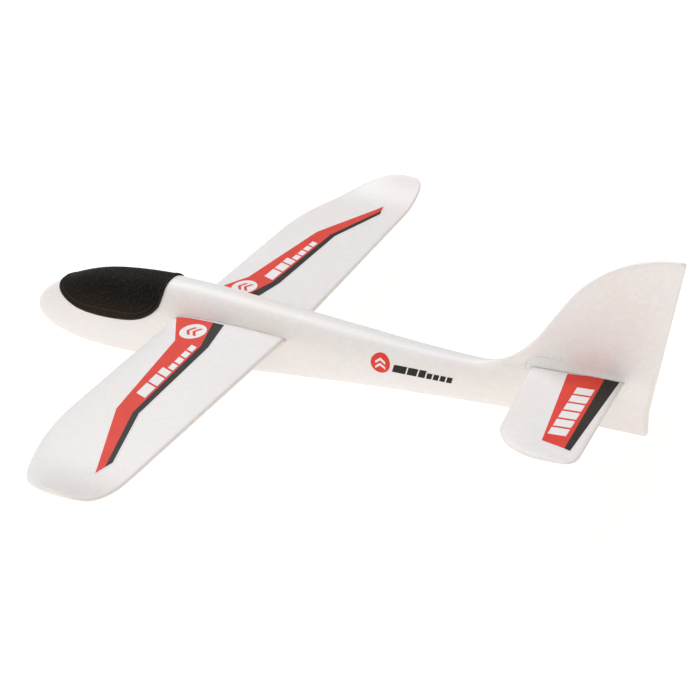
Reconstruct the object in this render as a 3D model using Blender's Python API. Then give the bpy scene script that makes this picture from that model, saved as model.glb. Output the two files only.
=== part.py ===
"""Moulded-foam hand-launch glider, modelled as the separate pieces it comes apart into.

Nose towards -Y, port wing towards +X, +Z up. The origin is under the middle of the glider,
level with the flat landing strip on the belly. Lengths below are in millimetres; MM turns them
into Blender's metres when a mesh is made.
"""
import math

import bmesh
import bpy
from mathutils import Matrix, Vector

MM = 0.001

# Driving dimensions
NOSE_Y = -240.0            # tip of the nose
TAIL_Y = 240.0             # upper rear corner of the fin
HALF_SPAN = 219.5          # centreline to wing tip
GAP = 0.3                  # air between pieces that touch
OVERSHOOT = 5.0            # cutters run this far past a face
CUTTER_REACH = 30.0        # half length of a cutter that goes right across the fuselage

# Fuselage: y, top, bottom, half width. The tail rows run up to the shoulder under the fin.
BODY_STATIONS = (
    (-240, 50.5, -0.6, 18.4),
    (-196, 56.4, -0.6, 19.0),
    (-155, 62.6, -0.6, 19.2),
    (-120, 65.0, 0.4, 18.9),
    (-85, 64.2, 2.8, 18.0),
    (-47, 61.2, 6.8, 16.8),
    (0, 57.2, 11.6, 15.4),
    (40, 53.8, 15.2, 13.9),
    (83, 50.6, 18.0, 12.0),
    (122, 49.8, 20.0, 10.0),
    (145, 54.5, 20.6, 8.4),
    (170, 64.0, 20.6, 6.2),
    (200, 68.5, 20.6, 3.3),
    (242, 70.0, 20.6, 1.7),
)
NOSE_END_Y = -165.0        # the rounded nose blends into the body here
NOSE_TIP_Z = 20.0
NOSE_POWER_TOP = 2.0       # superellipse power of the nose seen from the side, above the tip
NOSE_POWER = 2.15          # the same below the tip and in plan
SECTION_POWER = 2.35       # 2 is an ellipse; more gives flatter sides
BELLY_Z = 0.0              # the landing strip is flat at this height
FILLET = 2.2               # blend between the boom and the fin

# Fin: leading edge, as y and z, from the boom's spine to the upper corner
FIN_EDGE = (
    (118, 50.0),
    (132, 53.6),
    (146, 64.2),
    (158, 79.0),
    (169, 96.5),
    (180, 111.5),
    (195, 124.6),
    (212, 133.8),
    (228, 138.2),
    (239, 138.9),
)
TAIL_POST_Y = 222.5        # rear edge of the boom below the fin
POST_KINK = 0.12           # share of the rear edge that stands upright before it leans back
FIN_HALF_ROOT = 3.0        # half thickness at the fin's base
FIN_HALF_EDGE = 1.3        # half thickness along its rear edge and top
EDGE_ROUND = 2.6           # radius of the fin's leading edge
FIN_THIN_Y = 140.0         # it thins towards the rear from here
FIN_THIN_Z = (60.0, 140.0)  # and towards the top over this height
FIN_REAR_POWER = 1.5
FIN_TOP_SHARE = 0.75       # the top keeps more of the thickness than the rear edge
REAR_ROUND = 1.0           # length over which the rear edge is eased
REAR_ROUND_SHARE = 0.62    # and its thickness there

# Wing
WING_Z = 44.2              # height of the chord line at the root
WING_LE_Y = -101.5
WING_TE_ROOT_Y = -15.5
WING_TE_TIP_Y = -23.0
WING_UPPER = 3.7           # height of the upper surface over the chord line, at the root
WING_LOWER = 3.6           # depth of the lower surface under it
WING_TIP_SHARE = 0.62      # tip thickness over root thickness
THICKEST = 0.36            # share of the chord where the section is thickest
EDGE_SHARE = 0.26          # rear edge thickness over the greatest thickness
FRONT_POWER = 2.3          # roundness of a section ahead of its thickest point
REAR_POWER = 1.7           # how late it falls away behind it
WING_TAPER_X = 20.0        # the panel starts to thin here
WING_EDGE_ROUND = 2.5      # radius of the tip's edge
TIP_CURVE_X = 125.0        # the leading edge starts to sweep back here
TIP_CURVE_POWER = 2.05     # 2 is an elliptical tip; more is squarer
TIP_CORNER_Y = -43.0       # where the leading edge's curve ends at the tip
TIP_TE_RADIUS = 9.0
TIP_RISE = 13.5            # upturn of the wing tip
TIP_RISE_X = 178.0         # where the upturn starts
TIP_RISE_POWER = 2.3       # how much of the upturn is kept for the very tip
ROOT_X = 0.5               # each panel stops this far from the centreline

# Tailplane
TAIL_Z = 55.0              # height of the leading edge
TAIL_LIFT = 1.6            # the rear edge stands this much higher, for a steady glide
TAIL_HALF_SPAN = 90.5
TAIL_LE_Y = 151.5
TAIL_LE_SWEEP = 6.5        # how far the leading edge trails back before its rounded corner
TAIL_TE_Y = 209.5
TAIL_CORNER_X = 64.0
TAIL_CORNER_Y = 190.0
TAIL_TE_RADIUS = 8.0
TAIL_HALF_THICK = 2.1
TAIL_TIP_LOSS = 0.3        # share of the thickness lost at the tips
TAIL_EDGE_ROUND = 1.8
TAIL_SLOT_GAP = 0.6        # lets the sticker through when the tailplane is drawn out

# Canopy: lower rim seen from the side, as y and z, from front to rear
CANOPY_RIM = (
    (-213.5, 55.0),
    (-210.5, 48.4),
    (-205.0, 44.2),
    (-197.0, 40.2),
    (-186.0, 36.8),
    (-169.0, 35.4),
    (-152.0, 35.8),
    (-138.0, 37.6),
    (-126.5, 41.8),
    (-117.0, 49.2),
    (-112.8, 58.5),
    (-112.0, 72.0),
)
CANOPY_PROUD = 1.1         # how far the cover stands out from the foam around it
CANOPY_BLANK_END_Y = -69.0  # the blank that the cover is cut from ends here
CANOPY_TOP_Z = 90.0        # well above the cover
PLINTH_HALF_WIDTH = 9.5
PLINTH_Y = (-194.0, -134.0)
PLINTH_Z = (28.0, 49.0)
PLINTH_FIT = 0.5
PLINTH_CORNER = 3.0

# Inner pieces
WEIGHT_RADIUS = 4.0
WEIGHT_Y = -184.0
WEIGHT_Z = (20.0, 34.0)
POCKET_RADIUS = 4.4
ROD_RADIUS = 1.5
ROD_HALF_LENGTH = 50.0
SLEEVE_INNER = 1.8
SLEEVE_OUTER = 2.5
SLEEVE_X = (4.0, 56.0)
BORE_RADIUS = 2.8
BORE_DEPTH = 58.0
ROD_Y = -70.0
ROD_Z = 44.3

# Stickers
FILM = 0.12                # thickness of a sticker
WING_STICKER_END_X = 185.0
# x, front edge, rear edge
WING_STICKER_EDGES = (
    (19.2, -95.0, -60.0),
    (46.0, -81.0, -54.6),
    (126.5, -69.6, -53.4),
    (172.0, -47.6, -38.6),
    (186.0, -41.6, -40.2),
)
# each row is a corner pair, front then rear: x, y, x, y
TAIL_STICKER_INNER = (8.2, 176.0, 4.6, 206.6)
TAIL_STICKER_OUTER = (76.0, 185.4, 79.5, 203.4)
SIDE_STICKER_Y = (47.5, 105.0)
SIDE_STICKER_Z = (34.4, 46.8)
SIDE_STICKER_FALL = 2.6    # the mark runs down towards the tail with the boom
SIDE_STICKER_LEAN = math.radians(18.0)  # the side it lies on faces this far above level

# Mesh density
SIDE_POINTS = 26           # points from keel to spine on one side of the fuselage
NOSE_ANGLES = (88.2, 8.0)  # the nose's stations sit at even angles between these, in degrees
NOSE_STATIONS = 14
BODY_STEP = 9.0
FIN_LEAD = 9.0             # last plain station to the fin's first
FIN_STATIONS = 24
RIM_STEPS = 4              # points on each stretch of the canopy's rim
FOIL_POINTS = 15           # points along one surface of a wing section
WING_STATIONS = 7
WING_TIP_STATIONS = 16
TAIL_FOIL_POINTS = 9
TAIL_TIP_STATIONS = 11
LAST_STATION = 0.1         # the last section closes this far short of the tip
STICKER_POINTS = 8
STICKER_STEP = 11.0


def clear_scene():
    for item in list(bpy.data.objects):
        bpy.data.objects.remove(item, do_unlink=True)


def material(name, colour, roughness, metallic=0.0):
    shade = bpy.data.materials.new(name)
    shade.use_nodes = True
    shader = shade.node_tree.nodes["Principled BSDF"]
    shader.inputs["Base Color"].default_value = (*colour, 1.0)
    shader.inputs["Roughness"].default_value = roughness
    shader.inputs["Metallic"].default_value = metallic
    return shade


# Curves and small maths

def curve_at(knots, at, column=1):
    """Smooth curve through rows of knots, read at a value of their first column."""
    last = len(knots) - 2
    index = 0
    while index < last and at > knots[index + 1][0]:
        index += 1

    def slope(i):
        low = knots[max(i - 1, 0)]
        high = knots[min(i + 1, len(knots) - 1)]
        return (high[column] - low[column]) / (high[0] - low[0])

    start, end = knots[index], knots[index + 1]
    width = end[0] - start[0]
    t = min(max((at - start[0]) / width, 0.0), 1.0)
    rise = end[column] - start[column]
    a = slope(index) * width - rise
    b = rise - slope(index + 1) * width
    return start[column] + t * rise + t * (1 - t) * (a * (1 - t) + b * t)


def line_at(knots, at, column=1):
    """Straight-line version of curve_at, for printed edges with real corners."""
    for start, end in zip(knots, knots[1:]):
        if at <= end[0]:
            share = (at - start[0]) / (end[0] - start[0])
            return start[column] + share * (end[column] - start[column])
    return knots[-1][column]


def spaced(start, end, count):
    return [start + (end - start) * i / (count - 1) for i in range(count)]


def round_off(distance, length, power):
    """1 at the foot of a superellipse end, 0 at its tip."""
    share = min(max(distance / length, 0.0), 1.0)
    return (1.0 - share ** power) ** (1.0 / power)


def smooth_max(a, b, blend):
    gap = max(blend - abs(a - b), 0.0) / blend
    return max(a, b) + gap * gap * blend * 0.25


# Mesh helpers

def cap(bm, ring):
    """Closes a ring whose points pair up across it, from its first point."""
    low, high = 1, len(ring) - 1
    bm.faces.new((ring[0], ring[low], ring[high]))
    while high - low > 2:
        bm.faces.new((ring[low], ring[low + 1], ring[high - 1], ring[high]))
        low += 1
        high -= 1
    if high - low == 2:
        bm.faces.new((ring[low], ring[low + 1], ring[high]))


def finish_mesh(bm, name, shade, sharp_degrees=38.0):
    bmesh.ops.recalc_face_normals(bm, faces=bm.faces)
    mesh = bpy.data.meshes.new(name)
    bm.to_mesh(mesh)
    bm.free()
    mesh.materials.append(shade)
    mesh.shade_smooth()
    mesh.set_sharp_from_angle(angle=math.radians(sharp_degrees))
    made = bpy.data.objects.new(name, mesh)
    bpy.context.scene.collection.objects.link(made)
    return made


def lofted(name, rings, shade):
    bm = bmesh.new()
    made = [[bm.verts.new([c * MM for c in point]) for point in ring] for ring in rings]
    count = len(made[0])
    for near, far in zip(made, made[1:]):
        for i in range(count):
            j = (i + 1) % count
            bm.faces.new((near[i], near[j], far[j], far[i]))
    cap(bm, made[0])
    cap(bm, made[-1])
    return finish_mesh(bm, name, shade)


def turned_x(name, radius, x_range, y, z, shade, sides=24):
    """Cylinder along X."""
    rings = []
    for x in x_range:
        angles = [math.tau * i / sides for i in range(sides)]
        rings.append([(x, y + radius * math.cos(a), z + radius * math.sin(a)) for a in angles])
    return lofted(name, rings, shade)


def turned_z(name, radius, y, z_range, shade, sides=32):
    """Upright cylinder on the centreline."""
    rings = []
    for z in z_range:
        angles = [math.tau * i / sides for i in range(sides)]
        rings.append([(radius * math.cos(a), y + radius * math.sin(a), z) for a in angles])
    return lofted(name, rings, shade)


def prism_x(name, outline, half_width, shade):
    """Side-view outline pushed out to both sides."""
    bm = bmesh.new()
    sides = []
    for x in (-half_width, half_width):
        sides.append([bm.verts.new((x * MM, y * MM, z * MM)) for y, z in outline])
    count = len(outline)
    for i in range(count):
        j = (i + 1) % count
        bm.faces.new((sides[0][i], sides[0][j], sides[1][j], sides[1][i]))
    for side in sides:
        bm.faces.new(side)
    return finish_mesh(bm, name, shade)


def boxed(name, half_width, y_range, z_range, shade, grow=0.0):
    """Round-cornered block across the centreline; grow moves every face outwards."""
    bm = bmesh.new()
    bmesh.ops.create_cube(bm, size=1.0)
    low = (-half_width - grow, y_range[0] - grow, z_range[0] - grow)
    high = (half_width + grow, y_range[1] + grow, z_range[1] + grow)
    for vert in bm.verts:
        vert.co = [(a if c < 0 else b) * MM for c, a, b in zip(vert.co, low, high)]
    upright = [e for e in bm.edges if abs(e.verts[0].co.z - e.verts[1].co.z) > MM]
    bmesh.ops.bevel(bm, geom=upright, offset=(PLINTH_CORNER + grow) * MM, segments=4,
                    profile=0.5, affect="EDGES")
    return finish_mesh(bm, name, shade)


def cut(target, cutter, operation="DIFFERENCE"):
    cutter.hide_render = True
    cutter.display_type = "WIRE"
    step = target.modifiers.new(cutter.name, "BOOLEAN")
    step.operation = operation
    step.object = cutter
    step.solver = "EXACT"


# Fuselage

def body_limits(y, grow=0.0):
    """Top, bottom and half width of the body, without the fin, at one station."""
    top = curve_at(BODY_STATIONS, y, 1)
    bottom = curve_at(BODY_STATIONS, y, 2)
    wide = curve_at(BODY_STATIONS, y, 3)
    ahead = NOSE_END_Y - y
    if ahead > 0:
        reach = NOSE_END_Y - NOSE_Y
        upper = round_off(ahead, reach, NOSE_POWER_TOP)
        lower = round_off(ahead, reach, NOSE_POWER)
        top = NOSE_TIP_Z + (top - NOSE_TIP_Z) * upper
        bottom = NOSE_TIP_Z + (bottom - NOSE_TIP_Z) * lower
        wide *= lower
    return top + grow, bottom - grow, wide + grow


def body_half_width(y, z, grow=0.0):
    top, bottom, wide = body_limits(y, grow)
    share = abs(z - (top + bottom) / 2) / max((top - bottom) / 2, 0.01)
    return wide * max(1.0 - share ** SECTION_POWER, 0.0) ** (1.0 / SECTION_POWER)


def fin_half_width(y, z, edge_z):
    """Thickness of the fin: full ahead, thin at its rear edge and top, round at its front."""
    back = min(max((y - FIN_THIN_Y) / (TAIL_Y - FIN_THIN_Y), 0.0), 1.0)
    up = min(max((z - FIN_THIN_Z[0]) / (FIN_THIN_Z[1] - FIN_THIN_Z[0]), 0.0), 1.0)
    thinned = max(back ** FIN_REAR_POWER, FIN_TOP_SHARE * up)
    thick = FIN_HALF_ROOT + (FIN_HALF_EDGE - FIN_HALF_ROOT) * thinned
    depth = min(max(edge_z - z, 0.0) / EDGE_ROUND, 1.0)
    return thick * math.sqrt(1.0 - (1.0 - depth) ** 2)


def half_width(y, z, edge_z):
    body = body_half_width(y, z)
    if y < FIN_EDGE[0][0]:
        return body
    return smooth_max(body, fin_half_width(y, z, edge_z), FILLET)


def rear_lean(share):
    """How far back the rear edge has leaned at a share of its height."""
    return max(share - POST_KINK, 0.0) / (1.0 - POST_KINK)


def side_ring(low_y, low_z, high_y, high_z, width_at):
    """Ring of points from the keel up the port side to the spine and down the other side."""
    port = []
    for i in range(SIDE_POINTS + 1):
        share = (1.0 - math.cos(math.pi * i / SIDE_POINTS)) / 2
        z = low_z + (high_z - low_z) * share
        y = low_y + (high_y - low_y) * rear_lean(share)
        x = 0.0 if i in (0, SIDE_POINTS) else width_at(y, z)
        port.append((x, y, max(z, BELLY_Z)))
    return port + [(-x, y, z) for x, y, z in reversed(port[1:-1])]


def nose_stations():
    reach = NOSE_END_Y - NOSE_Y
    angles = [math.radians(a) for a in spaced(*NOSE_ANGLES, NOSE_STATIONS)]
    return [NOSE_END_Y - reach * math.sin(a) for a in angles]


def body_rings(last_y, grow=0.0):
    count = int((last_y - NOSE_END_Y) / BODY_STEP) + 1
    stations = nose_stations() + spaced(NOSE_END_Y, last_y, count)
    rings = []
    for y in stations:
        top, bottom, _ = body_limits(y, grow)
        ring = side_ring(y, bottom, y, top, lambda at_y, z: body_half_width(at_y, z, grow))
        rings.append(ring)
    return rings


def fin_rings():
    first, last = FIN_EDGE[0][0], FIN_EDGE[-1][0]
    rings = []
    for share in spaced(0.0, 1.0, FIN_STATIONS):
        edge_y = first + (last - first) * share
        edge_z = curve_at(FIN_EDGE, edge_y)
        low_y = first + (TAIL_POST_Y - first) * share
        low_z = body_limits(low_y)[1]
        rings.append(side_ring(low_y, low_z, edge_y, edge_z,
                               lambda y, z, top=edge_z: half_width(y, z, top)))
    low_z = body_limits(TAIL_POST_Y)[1] + REAR_ROUND
    top_z = FIN_EDGE[-1][1]
    rings.append(side_ring(TAIL_POST_Y + REAR_ROUND, low_z, TAIL_Y, top_z - REAR_ROUND,
                           lambda y, z: REAR_ROUND_SHARE * half_width(y, z, top_z)))
    return rings


def canopy_outline(offset):
    """Side view of the space the cover fills, moved outwards along its rim by offset."""
    smooth = [CANOPY_RIM[0]]
    for start, end in zip(CANOPY_RIM, CANOPY_RIM[1:]):
        smooth += [(y, curve_at(CANOPY_RIM, y)) for y in spaced(start[0], end[0], RIM_STEPS)[1:]]
    moved = []
    for i, (y, z) in enumerate(smooth):
        before = smooth[max(i - 1, 0)]
        after = smooth[min(i + 1, len(smooth) - 1)]
        dy, dz = after[0] - before[0], after[1] - before[1]
        size = math.hypot(dy, dz)
        moved.append((y + offset * dz / size, z - offset * dy / size))
    return moved + [(moved[-1][0], CANOPY_TOP_Z), (moved[0][0], CANOPY_TOP_Z)]


def make_fuselage(foam):
    rings = body_rings(FIN_EDGE[0][0] - FIN_LEAD) + fin_rings()
    fuselage = lofted("fuselage", rings, foam)
    cut(fuselage, prism_x("canopy_space", canopy_outline(GAP), CUTTER_REACH, foam))
    cut(fuselage, boxed("plinth", PLINTH_HALF_WIDTH, PLINTH_Y, PLINTH_Z, foam), "UNION")
    cut(fuselage, turned_z("weight_pocket", POCKET_RADIUS, WEIGHT_Y,
                           (WEIGHT_Z[0] - GAP, PLINTH_Z[1] + OVERSHOOT), foam))
    cut(fuselage, wing_slot_cutter(foam))
    cut(fuselage, tail_slot_cutter(foam))
    return fuselage


def make_canopy(cover):
    rings = body_rings(CANOPY_BLANK_END_Y, CANOPY_PROUD)
    canopy = lofted("canopy", rings, cover)
    cut(canopy, prism_x("canopy_limit", canopy_outline(0.0), CUTTER_REACH, cover),
        "INTERSECT")
    cut(canopy, boxed("plinth_clearance", PLINTH_HALF_WIDTH, PLINTH_Y,
                      (PLINTH_Z[0] - OVERSHOOT, PLINTH_Z[1]), cover, PLINTH_FIT))
    return canopy


# Wing and tailplane sections

def foil_height(share):
    """Relative height of a section's surface at a share of the chord."""
    if share < THICKEST:
        return round_off(THICKEST - share, THICKEST, FRONT_POWER)
    fall = (share - THICKEST) / (1.0 - THICKEST)
    return 1.0 - (1.0 - EDGE_SHARE) * fall ** REAR_POWER


def foil_ring(x, front, back, z, upper, lower, points, lift=0.0):
    """Section from the leading edge over the top to the rear edge and back underneath."""
    top = []
    under = []
    for i in range(1, points + 1):
        share = 1.0 - math.cos(math.pi * 0.5 * i / points)
        y = front + (back - front) * share
        top.append((x, y, z + lift * share + upper * foil_height(share)))
        under.append((x, y, z + lift * share - lower * foil_height(share)))
    return [(x, front, z)] + top + list(reversed(under))


def wing_front(x):
    if x <= TIP_CURVE_X:
        return WING_LE_Y
    share = round_off(x - TIP_CURVE_X, HALF_SPAN - TIP_CURVE_X, TIP_CURVE_POWER)
    return TIP_CORNER_Y + (WING_LE_Y - TIP_CORNER_Y) * share


def wing_back(x):
    straight = WING_TE_ROOT_Y + (WING_TE_TIP_Y - WING_TE_ROOT_Y) * x / HALF_SPAN
    corner = x - (HALF_SPAN - TIP_TE_RADIUS)
    if corner <= 0:
        return straight
    return straight - TIP_TE_RADIUS * (1.0 - round_off(corner, TIP_TE_RADIUS, 2.0))


def wing_height(x):
    over = max(x - TIP_RISE_X, 0.0) / (HALF_SPAN - TIP_RISE_X)
    return WING_Z + TIP_RISE * over ** TIP_RISE_POWER


def wing_thickness(x):
    out = max(x - WING_TAPER_X, 0.0) / (HALF_SPAN - WING_TAPER_X)
    rim = round_off(max(x - (HALF_SPAN - WING_EDGE_ROUND), 0.0), WING_EDGE_ROUND, 2.0)
    return (1.0 + (WING_TIP_SHARE - 1.0) * out) * rim


def wing_section(x, grow=0.0):
    thick = wing_thickness(x)
    return foil_ring(x, wing_front(x) - grow, wing_back(x) + grow, wing_height(x),
                     WING_UPPER * thick + grow, WING_LOWER * thick + grow, FOIL_POINTS)


def wing_top(x, y):
    """Height of the wing's upper surface."""
    front, back = wing_front(x), wing_back(x)
    share = min(max((y - front) / (back - front), 0.0), 1.0)
    return wing_height(x) + WING_UPPER * wing_thickness(x) * foil_height(share)


def wing_stations():
    inner = [ROOT_X] + spaced(WING_TAPER_X, TIP_CURVE_X, WING_STATIONS)
    reach = HALF_SPAN - TIP_CURVE_X
    angles = [math.pi * 0.5 * i / WING_TIP_STATIONS for i in range(1, WING_TIP_STATIONS)]
    outer = [TIP_CURVE_X + reach * math.sin(a) for a in angles]
    return inner + outer + [HALF_SPAN - LAST_STATION]


def sided(ring, side):
    return [(x * side, y, z) for x, y, z in ring]


def wing_slot_cutter(foam):
    """Through slot of the root section's shape."""
    root = wing_section(ROOT_X, GAP)
    rings = [[(x, y, z) for _, y, z in root] for x in (-CUTTER_REACH, CUTTER_REACH)]
    return lofted("wing_slot", rings, foam)


def make_wing(side, name, foam):
    wing = lofted(name, [sided(wing_section(x), side) for x in wing_stations()], foam)
    cut(wing, turned_x(name + "_bore", BORE_RADIUS, (-OVERSHOOT * side, BORE_DEPTH * side),
                       ROD_Y, ROD_Z, foam))
    return wing


def tail_front(x):
    x = abs(x)
    edge = TAIL_LE_Y + TAIL_LE_SWEEP * x / TAIL_CORNER_X
    if x <= TAIL_CORNER_X:
        return edge
    share = round_off(x - TAIL_CORNER_X, TAIL_HALF_SPAN - TAIL_CORNER_X, 2.0)
    return TAIL_CORNER_Y + (TAIL_LE_Y + TAIL_LE_SWEEP - TAIL_CORNER_Y) * share


def tail_back(x):
    corner = abs(x) - (TAIL_HALF_SPAN - TAIL_TE_RADIUS)
    if corner <= 0:
        return TAIL_TE_Y
    return TAIL_TE_Y - TAIL_TE_RADIUS * (1.0 - round_off(corner, TAIL_TE_RADIUS, 2.0))


def tail_lift(y):
    return TAIL_LIFT * (y - TAIL_LE_Y) / (TAIL_TE_Y - TAIL_LE_Y)


def tail_thickness(x):
    over = max(abs(x) - (TAIL_HALF_SPAN - TAIL_EDGE_ROUND), 0.0)
    rim = round_off(over, TAIL_EDGE_ROUND, 2.0)
    return (1.0 - TAIL_TIP_LOSS * abs(x) / TAIL_HALF_SPAN) * rim


def tail_section(x, grow=0.0):
    half = TAIL_HALF_THICK * tail_thickness(x) + grow
    front, back = tail_front(x) - grow, tail_back(x) + grow
    level = TAIL_Z + tail_lift(front)
    return foil_ring(x, front, back, level, half, half, TAIL_FOIL_POINTS,
                     tail_lift(back) - tail_lift(front))


def tail_stations():
    reach = TAIL_HALF_SPAN - TAIL_CORNER_X
    angles = [math.pi * 0.5 * i / TAIL_TIP_STATIONS for i in range(1, TAIL_TIP_STATIONS)]
    outer = [TAIL_CORNER_X + reach * math.sin(a) for a in angles]
    half = spaced(0.0, TAIL_CORNER_X, 4)[1:] + outer + [TAIL_HALF_SPAN - LAST_STATION]
    return [-x for x in reversed(half)] + [0.0] + half


def tail_slot_cutter(foam):
    """Through slot: the root section with the same room all round, which lets the stickers pass."""
    root = tail_section(0.0)
    middle = (TAIL_LE_Y + TAIL_TE_Y) / 2.0
    stretch = 1.0 + 2.0 * TAIL_SLOT_GAP / (TAIL_TE_Y - TAIL_LE_Y)
    outline = []
    for index, (_, y, z) in enumerate(root):
        over = 1.0 if 0 < index <= TAIL_FOIL_POINTS else -1.0
        room = TAIL_SLOT_GAP * over if index else 0.0
        outline.append((middle + (y - middle) * stretch, z + room))
    rings = [[(x, y, z) for y, z in outline] for x in (-CUTTER_REACH, CUTTER_REACH)]
    return lofted("tail_slot", rings, foam)


def tail_top(x, y):
    front, back = tail_front(x), tail_back(x)
    share = min(max((y - front) / (back - front), 0.0), 1.0)
    return TAIL_Z + tail_lift(y) + TAIL_HALF_THICK * tail_thickness(x) * foil_height(share)


# Stickers

def film(name, grid, outwards, shade):
    """Thin closed sheet over a grid of surface points; outwards is its unit direction."""
    bm = bmesh.new()
    layers = []
    for lift in (GAP, GAP + FILM):
        rows = []
        for row in grid:
            points = [[(c + o * lift) * MM for c, o in zip(point, outwards)] for point in row]
            rows.append([bm.verts.new(point) for point in points])
        layers.append(rows)
    for rows in layers:
        for near, far in zip(rows, rows[1:]):
            for i in range(len(near) - 1):
                bm.faces.new((near[i], near[i + 1], far[i + 1], far[i]))
    under, over = layers
    rim = [(r, 0) for r in range(len(under))]
    rim += [(len(under) - 1, c) for c in range(1, len(under[0]))]
    rim += [(r, len(under[0]) - 1) for r in range(len(under) - 2, -1, -1)]
    rim += [(0, c) for c in range(len(under[0]) - 2, 0, -1)]
    for (r0, c0), (r1, c1) in zip(rim, rim[1:] + rim[:1]):
        bm.faces.new((under[r0][c0], under[r1][c1], over[r1][c1], over[r0][c0]))
    return finish_mesh(bm, name, shade)


def wing_sticker_stations():
    stations = []
    knots = [row[0] for row in WING_STICKER_EDGES]
    for start, end in zip(knots, knots[1:]):
        steps = max(int((end - start) / STICKER_STEP), 1)
        stations += [start + (end - start) * i / steps for i in range(steps)]
    return stations + [WING_STICKER_END_X]


def make_wing_sticker(side, name, shade):
    grid = []
    for x in wing_sticker_stations():
        front = line_at(WING_STICKER_EDGES, x, 1)
        back = line_at(WING_STICKER_EDGES, x, 2)
        grid.append([(x * side, y, wing_top(x, y)) for y in spaced(front, back, STICKER_POINTS)])
    return film(name, grid, (0.0, 0.0, 1.0), shade)


def make_tail_sticker(side, name, shade):
    grid = []
    for share in spaced(0.0, 1.0, STICKER_POINTS):
        edge = [a + (b - a) * share for a, b in zip(TAIL_STICKER_INNER, TAIL_STICKER_OUTER)]
        across = zip(spaced(edge[0], edge[2], STICKER_POINTS),
                     spaced(edge[1], edge[3], STICKER_POINTS))
        grid.append([(x * side, y, tail_top(x, y)) for x, y in across])
    return film(name, grid, (0.0, 0.0, 1.0), shade)


def make_side_sticker(side, name, shade):
    grid = []
    for share in spaced(0.0, 1.0, STICKER_POINTS):
        y = SIDE_STICKER_Y[0] + (SIDE_STICKER_Y[1] - SIDE_STICKER_Y[0]) * share
        heights = [z - SIDE_STICKER_FALL * share for z in spaced(*SIDE_STICKER_Z, STICKER_POINTS)]
        grid.append([(body_half_width(y, z) * side, y, z) for z in heights])
    outwards = (math.cos(SIDE_STICKER_LEAN) * side, 0.0, math.sin(SIDE_STICKER_LEAN))
    return film(name, grid, outwards, shade)


# Inner pieces

def make_sleeve(side, name, shade):
    start, end = (x * side for x in SLEEVE_X)
    sleeve = turned_x(name, SLEEVE_OUTER, (start, end), ROD_Y, ROD_Z, shade)
    beyond = (start - OVERSHOOT * side, end + OVERSHOOT * side)
    cut(sleeve, turned_x(name + "_hole", SLEEVE_INNER, beyond, ROD_Y, ROD_Z, shade))
    return sleeve


# Assembly

def stand_at(made, y, z):
    """Moves an object's origin to a point on the centreline and leaves its shape where it is."""
    origin = Vector((0.0, y * MM, z * MM))
    made.data.transform(Matrix.Translation(-origin))
    made.location = origin
    return made


def hang(carrier, *pieces):
    """Parents finished pieces to the one that carries them, each staying in its place."""
    for piece in pieces:
        piece.parent = carrier
        piece.location = piece.location - carrier.location


def build():
    clear_scene()
    foam = material("white_foam", (0.86, 0.85, 0.84), 0.55)
    cover = material("black_foam", (0.028, 0.026, 0.025), 0.6)
    steel = material("steel", (0.55, 0.55, 0.56), 0.35, 1.0)
    glass_rod = material("glass_fibre", (0.75, 0.74, 0.66), 0.4)
    plastic = material("sleeve_plastic", (0.12, 0.12, 0.13), 0.45)
    red_film = material("printed_film", (0.75, 0.09, 0.06), 0.35)

    fuselage = make_fuselage(foam)
    stand_at(make_canopy(cover), sum(PLINTH_Y) / 2.0, PLINTH_Z[0])
    weight = turned_z("nose_weight", WEIGHT_RADIUS, WEIGHT_Y, WEIGHT_Z, steel)
    rod = turned_x("wing_joiner", ROD_RADIUS, (-ROD_HALF_LENGTH, ROD_HALF_LENGTH), ROD_Y, ROD_Z,
                   glass_rod)
    tailplane = lofted("tailplane", [tail_section(x) for x in tail_stations()], foam)
    stand_at(tailplane, TAIL_LE_Y, TAIL_Z)
    hang(fuselage, weight)
    for side, word in ((1, "left"), (-1, "right")):
        wing = stand_at(make_wing(side, "wing_" + word, foam), ROD_Y, ROD_Z)
        hang(wing, make_sleeve(side, "joiner_sleeve_" + word, plastic),
             make_wing_sticker(side, "wing_sticker_" + word, red_film))
        hang(tailplane, make_tail_sticker(side, "tail_sticker_" + word, red_film))
        hang(fuselage, make_side_sticker(side, "side_sticker_" + word, red_film))
    hang(wing, rod)


build()
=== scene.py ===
"""Looks of a moulded foam hand-launch glider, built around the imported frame.

Lengths in the tables and constants below are millimetres, and MM turns them into metres; the few that
are metres say so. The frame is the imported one: nose towards -Y, port wing towards +X, up is +Z.
"""

import math

import bmesh
import bpy
from mathutils import Matrix, Vector
from mathutils.bvhtree import BVHTree


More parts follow.
